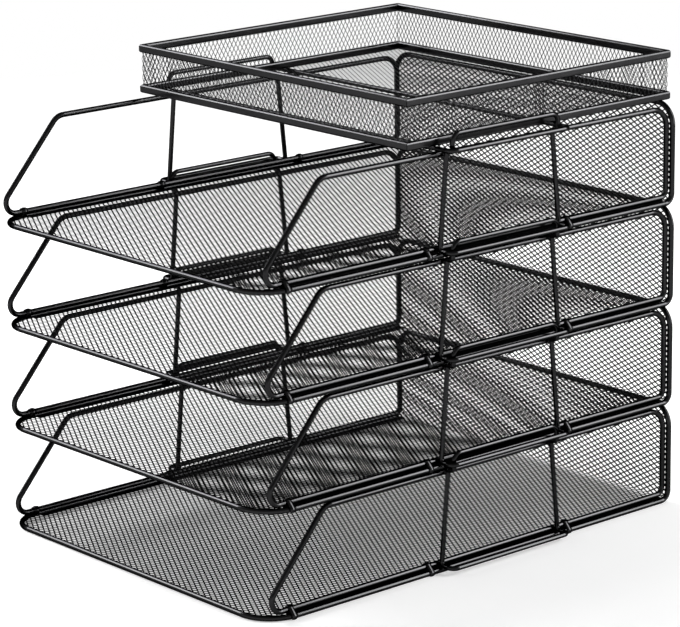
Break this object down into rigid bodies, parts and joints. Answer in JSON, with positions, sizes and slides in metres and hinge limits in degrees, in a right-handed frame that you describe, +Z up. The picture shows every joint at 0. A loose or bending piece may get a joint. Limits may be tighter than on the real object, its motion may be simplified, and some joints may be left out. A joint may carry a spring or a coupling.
{
  "type": "stacking document organizer",
  "caption": "Stack of open-front wire and mesh letter trays with slanted side frames and a shallow mesh tray on top, each lifting off the one below.",
  "frame": {"origin": "on the ground under the middle of the object's box", "axes": "+Z up, -Y towards the open front of the trays, +X to the right seen from the front"},
  "size_m": [0.273, 0.3304, 0.2864],
  "materials": {
    "wire": "gloss black powder coat",
    "mesh": "satin black powder coat",
    "rim": "satin black powder coat",
    "clip": "gloss black powder coat"
  },
  "bodies": {
    "tray_1": {"tray_1_base_wire": "wire", "tray_1_floor_mesh": "mesh", "tray_1_back_mesh": "mesh", "tray_1_side_frame_left": "wire", "tray_1_side_frame_right": "wire", "tray_1_post_wires": "wire", "tray_1_clips": "clip"},
    "tray_2": {"tray_2_base_wire": "wire", "tray_2_floor_mesh": "mesh", "tray_2_back_mesh": "mesh", "tray_2_side_frame_left": "wire", "tray_2_side_frame_right": "wire", "tray_2_post_wires": "wire", "tray_2_clips": "clip"},
    "tray_3": {"tray_3_base_wire": "wire", "tray_3_floor_mesh": "mesh", "tray_3_back_mesh": "mesh", "tray_3_side_frame_left": "wire", "tray_3_side_frame_right": "wire", "tray_3_post_wires": "wire", "tray_3_clips": "clip"},
    "tray_4": {"tray_4_base_wire": "wire", "tray_4_floor_mesh": "mesh", "tray_4_back_mesh": "mesh", "tray_4_side_frame_left": "wire", "tray_4_side_frame_right": "wire", "tray_4_post_wires": "wire", "tray_4_clips": "clip"},
    "top_tray": {"top_tray_bottom_rim": "rim", "top_tray_top_rim": "rim", "top_tray_floor_mesh": "mesh", "top_tray_front_mesh": "mesh", "top_tray_rear_mesh": "mesh", "top_tray_left_mesh": "mesh", "top_tray_right_mesh": "mesh", "top_tray_foot_wire": "wire"}
  },
  "joints": [
    {"name": "tray_2_lift", "type": "slide", "parent": "tray_1", "child": "tray_2", "axis": [0, 0, 1], "range_m": [0, 0.03]},
    {"name": "tray_3_lift", "type": "slide", "parent": "tray_2", "child": "tray_3", "axis": [0, 0, 1], "range_m": [0, 0.03]},
    {"name": "tray_4_lift", "type": "slide", "parent": "tray_3", "child": "tray_4", "axis": [0, 0, 1], "range_m": [0, 0.03]},
    {"name": "top_tray_lift", "type": "slide", "parent": "tray_4", "child": "top_tray", "axis": [0, 0, 1], "range_m": [0, 0.03]}
  ]
}
